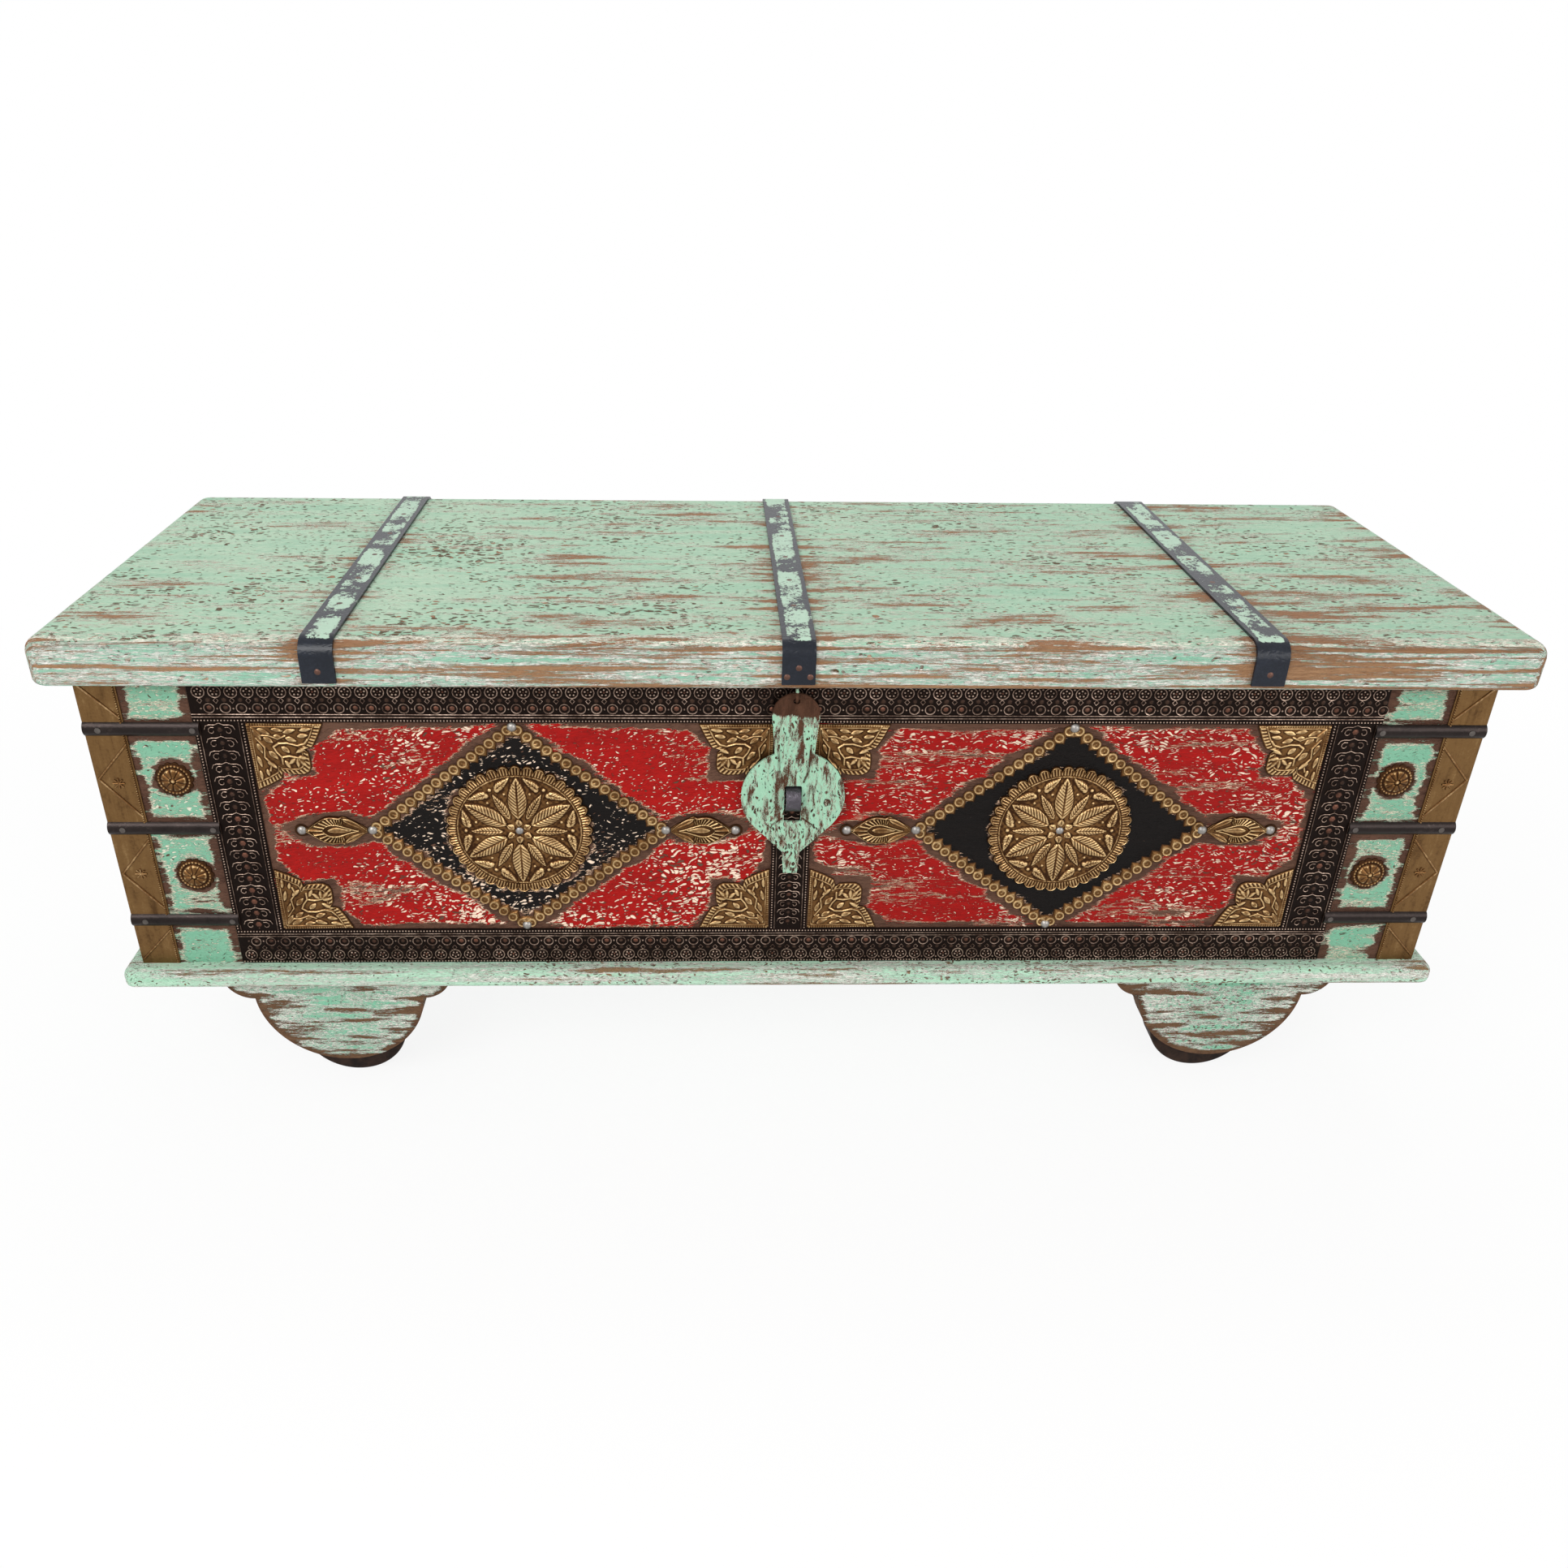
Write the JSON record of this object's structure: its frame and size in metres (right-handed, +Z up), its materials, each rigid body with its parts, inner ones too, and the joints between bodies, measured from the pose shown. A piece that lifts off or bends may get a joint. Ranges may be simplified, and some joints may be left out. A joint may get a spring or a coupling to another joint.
{
  "type": "damchiya chest",
  "caption": "Low wooden dowry chest with a hinged lid, iron straps, hasp and staple, embossed metal borders, brass ornaments and wheeled feet.",
  "frame": {"origin": "on the floor, under the middle of the whole chest's box", "axes": "+X along the chest's length to the viewer's right, -Y towards the front, +Z up"},
  "size_m": [1.176, 0.4115, 0.4538],
  "materials": {
    "green_wood": "worn mint green paint over cream ground and brown wood",
    "painted_front": "worn red panels, black lozenges, mint green ends",
    "wheel_wood": "dark brown oiled wood",
    "dark_sheet": "blackened embossed sheet metal, brown at the high places",
    "brass": "aged embossed brass sheet",
    "iron": "blue-black iron bar with remains of green paint",
    "hasp_iron": "green paint worn through to brown iron",
    "steel": "dull grey steel nail heads"
  },
  "bodies": {
    "chest": {"base_board": "green_wood", "front_board": "painted_front", "back_board": "green_wood", "end_board_left": "green_wood", "end_board_right": "green_wood", "border_top": "dark_sheet", "border_bottom": "dark_sheet", "border_left": "dark_sheet", "border_right": "dark_sheet", "border_middle": "dark_sheet", "dome_nails": "steel", "side_rosettes": "brass", "corner_strap_nails": "iron", "staple": "iron", "hinge_pins": "iron", "hinge_leaf_nails": "iron", "wheel_axles": "iron", "corner_ornaments_left": "brass", "diamond_trim_left": "brass", "medallion_left": "brass", "finials_left": "brass", "corner_sheet_left": "brass", "corner_straps_left": "iron", "corner_ornaments_right": "brass", "diamond_trim_right": "brass", "medallion_right": "brass", "finials_right": "brass", "corner_sheet_right": "brass", "corner_straps_right": "iron", "hinge_leaf_left": "iron", "hinge_leaf_middle": "iron", "hinge_leaf_right": "iron", "outer_bracket_front_left": "green_wood", "inner_bracket_front_left": "green_wood", "outer_bracket_front_right": "green_wood", "inner_bracket_front_right": "green_wood", "outer_bracket_rear_left": "green_wood", "inner_bracket_rear_left": "green_wood", "outer_bracket_rear_right": "green_wood", "inner_bracket_rear_right": "green_wood"},
    "lid": {"lid_board": "green_wood", "lid_rim_front": "green_wood", "lid_rim_back": "green_wood", "lid_rim_left": "green_wood", "lid_rim_right": "green_wood", "lid_strap_left": "iron", "lid_strap_middle": "iron", "lid_strap_right": "iron", "lid_strap_nails": "iron", "hasp_eye": "hasp_iron"},
    "hasp": {"hasp_plate": "hasp_iron"},
    "wheel_front_left_body": {"wheel_front_left": "wheel_wood"},
    "wheel_front_right_body": {"wheel_front_right": "wheel_wood"},
    "wheel_rear_left_body": {"wheel_rear_left": "wheel_wood"},
    "wheel_rear_right_body": {"wheel_rear_right": "wheel_wood"}
  },
  "joints": [
    {"name": "lid_hinge", "type": "hinge", "parent": "chest", "child": "lid", "pos_m": [0, 0.20075, 0.4132], "axis": [-1, 0, 0], "range_deg": [0, 95]},
    {"name": "hasp_swing", "type": "hinge", "parent": "lid", "child": "hasp", "pos_m": [0, -0.19555, 0.4066], "axis": [-1, 0, 0], "range_deg": [0, 133]},
    {"name": "wheel_spin_front_left", "type": "hinge", "parent": "chest", "child": "wheel_front_left_body", "pos_m": [-0.399, -0.14505, 0.048], "axis": [0, 1, 0], "continuous": true},
    {"name": "wheel_spin_front_right", "type": "hinge", "parent": "chest", "child": "wheel_front_right_body", "pos_m": [0.399, -0.14505, 0.048], "axis": [0, 1, 0], "continuous": true},
    {"name": "wheel_spin_rear_left", "type": "hinge", "parent": "chest", "child": "wheel_rear_left_body", "pos_m": [-0.399, 0.15395, 0.048], "axis": [0, 1, 0], "continuous": true},
    {"name": "wheel_spin_rear_right", "type": "hinge", "parent": "chest", "child": "wheel_rear_right_body", "pos_m": [0.399, 0.15395, 0.048], "axis": [0, 1, 0], "continuous": true}
  ],
  "couplings": [
    {"joint": "hasp_swing", "follows": "lid_hinge", "ratio": 1.4}
  ]
}
